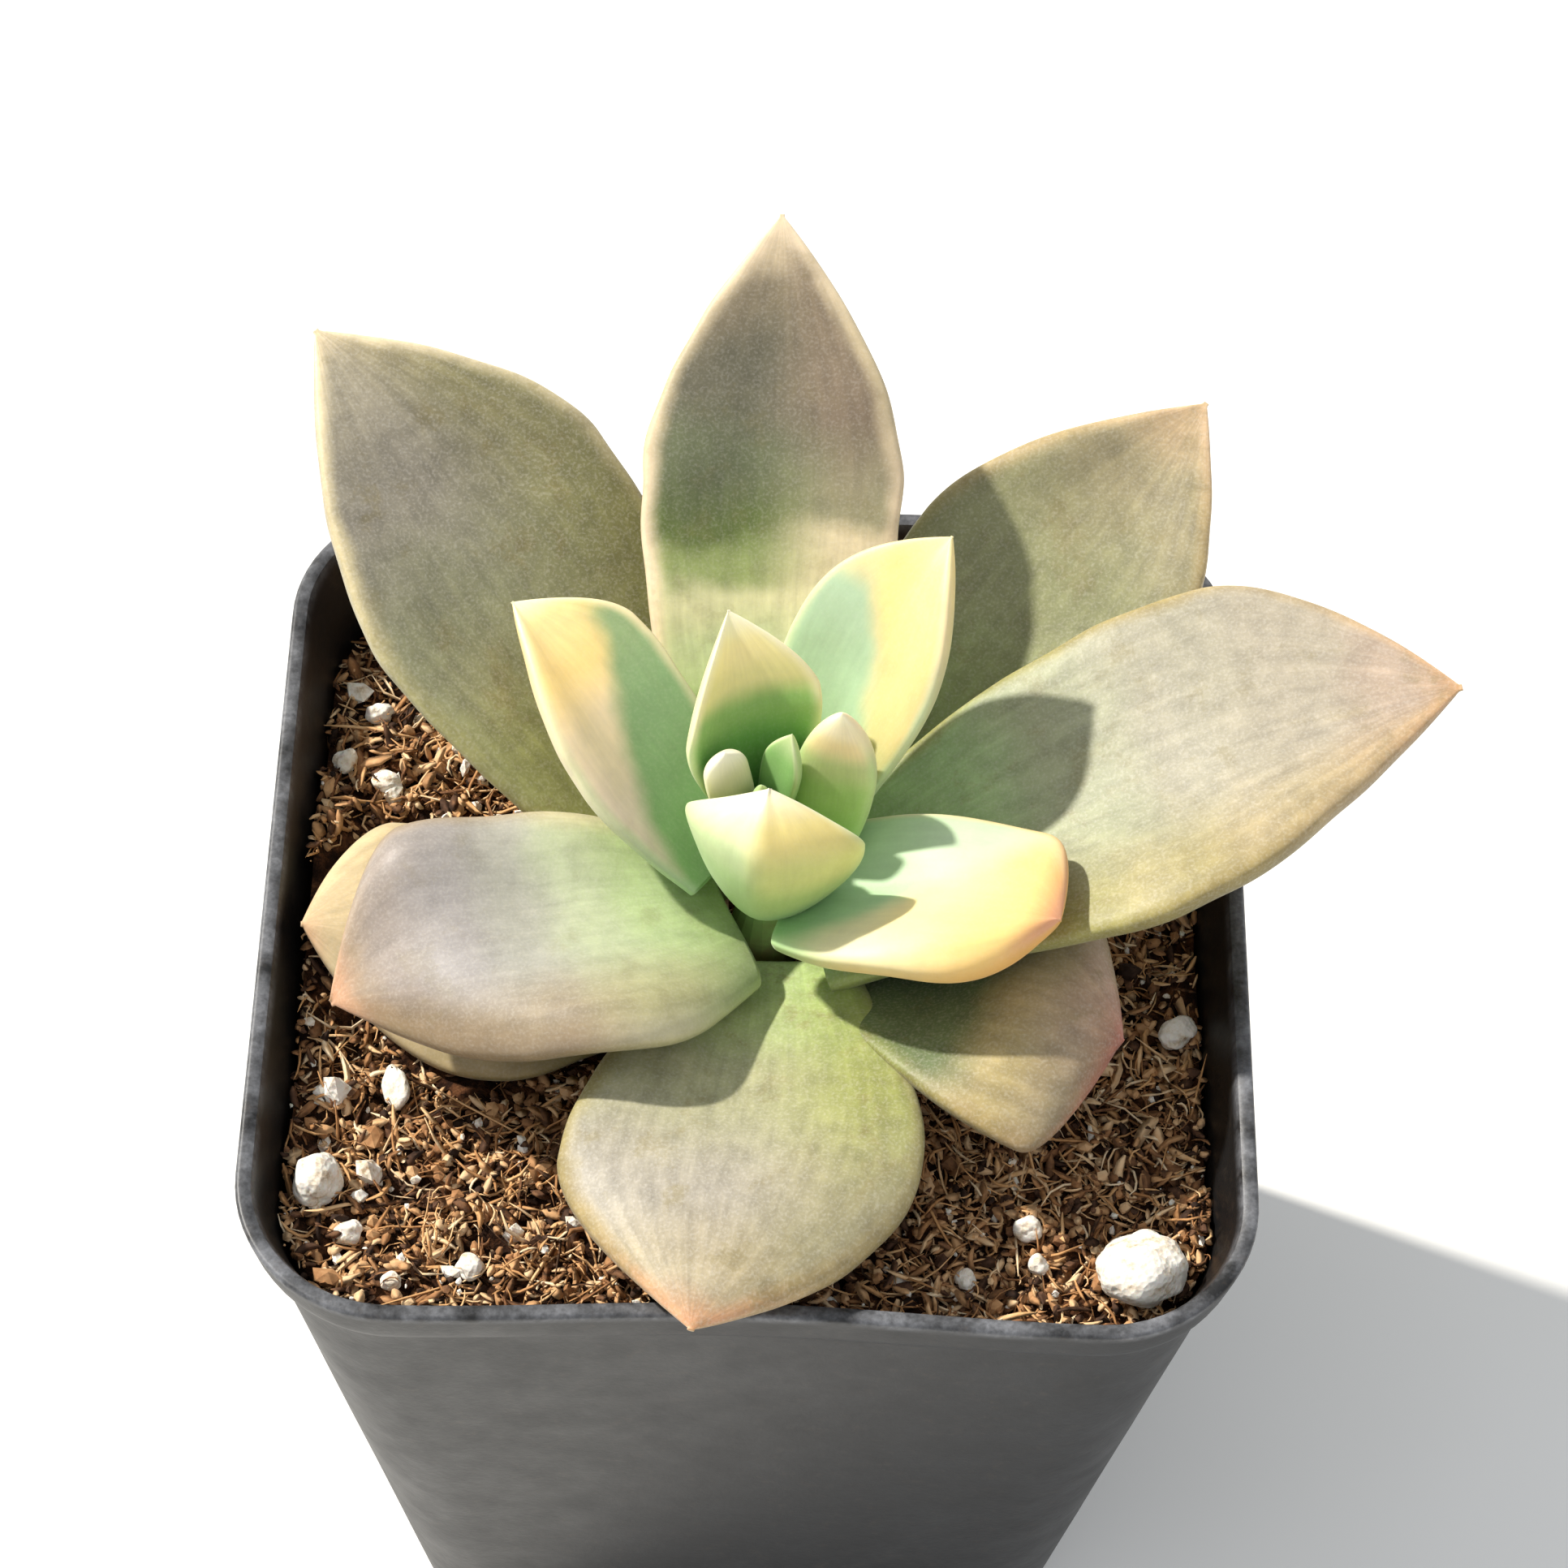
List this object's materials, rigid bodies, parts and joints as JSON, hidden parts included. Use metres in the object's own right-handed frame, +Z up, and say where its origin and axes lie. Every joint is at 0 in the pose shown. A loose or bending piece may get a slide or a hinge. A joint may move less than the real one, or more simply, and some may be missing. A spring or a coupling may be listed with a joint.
{
  "type": "potted succulent",
  "caption": "Rosette succulent with broad cupped pointed leaves, pale yellow and green at the heart and mauve grey outside, growing over the rim of a small square nursery pot of potting mix",
  "frame": {"origin": "middle of the flat underside of the pot", "axes": "+Z up out of the pot, -Y towards the front, where the lowest leaf hangs over the rim, +X to the right"},
  "size_m": [0.0765, 0.0707, 0.0868],
  "materials": {
    "black_plastic": "injection moulded polypropylene, satin",
    "coir_and_peat": "damp coir and peat fibre",
    "stem_skin": "corky green stem",
    "outer_leaf_skin": "waxy, mauve grey and olive",
    "inner_leaf_skin": "waxy, pale yellow and green",
    "perlite": "puffed mineral, rough"
  },
  "bodies": {
    "root": {"pot": "black_plastic", "potting_mix": "coir_and_peat", "stem": "stem_skin", "leaf_outer_left_low": "outer_leaf_skin", "leaf_outer_right_low": "outer_leaf_skin", "leaf_outer_right_back": "outer_leaf_skin", "leaf_outer_left_back": "outer_leaf_skin", "leaf_outer_front": "outer_leaf_skin", "leaf_outer_left": "outer_leaf_skin", "leaf_outer_right": "outer_leaf_skin", "leaf_outer_back": "outer_leaf_skin", "leaf_inner_left": "inner_leaf_skin", "leaf_inner_right_back": "inner_leaf_skin", "leaf_inner_right": "inner_leaf_skin", "leaf_crown_back": "inner_leaf_skin", "leaf_crown_front": "inner_leaf_skin", "leaf_crown_right": "inner_leaf_skin", "leaf_heart_left": "inner_leaf_skin", "leaf_heart_back": "inner_leaf_skin", "leaf_heart_front": "inner_leaf_skin", "leaf_heart_middle": "inner_leaf_skin", "perlite_front_right_corner": "perlite", "perlite_front_right_upper": "perlite", "perlite_front_right_lower": "perlite", "perlite_front_middle": "perlite", "perlite_right_side": "perlite", "perlite_front_left_corner": "perlite", "perlite_front_left_inner": "perlite", "perlite_left_long": "perlite", "perlite_front_left_grey": "perlite", "perlite_front_left_small": "perlite", "perlite_back_left_near": "perlite", "perlite_back_left_inner": "perlite", "perlite_back_left_far": "perlite"}
  },
  "joints": []
}
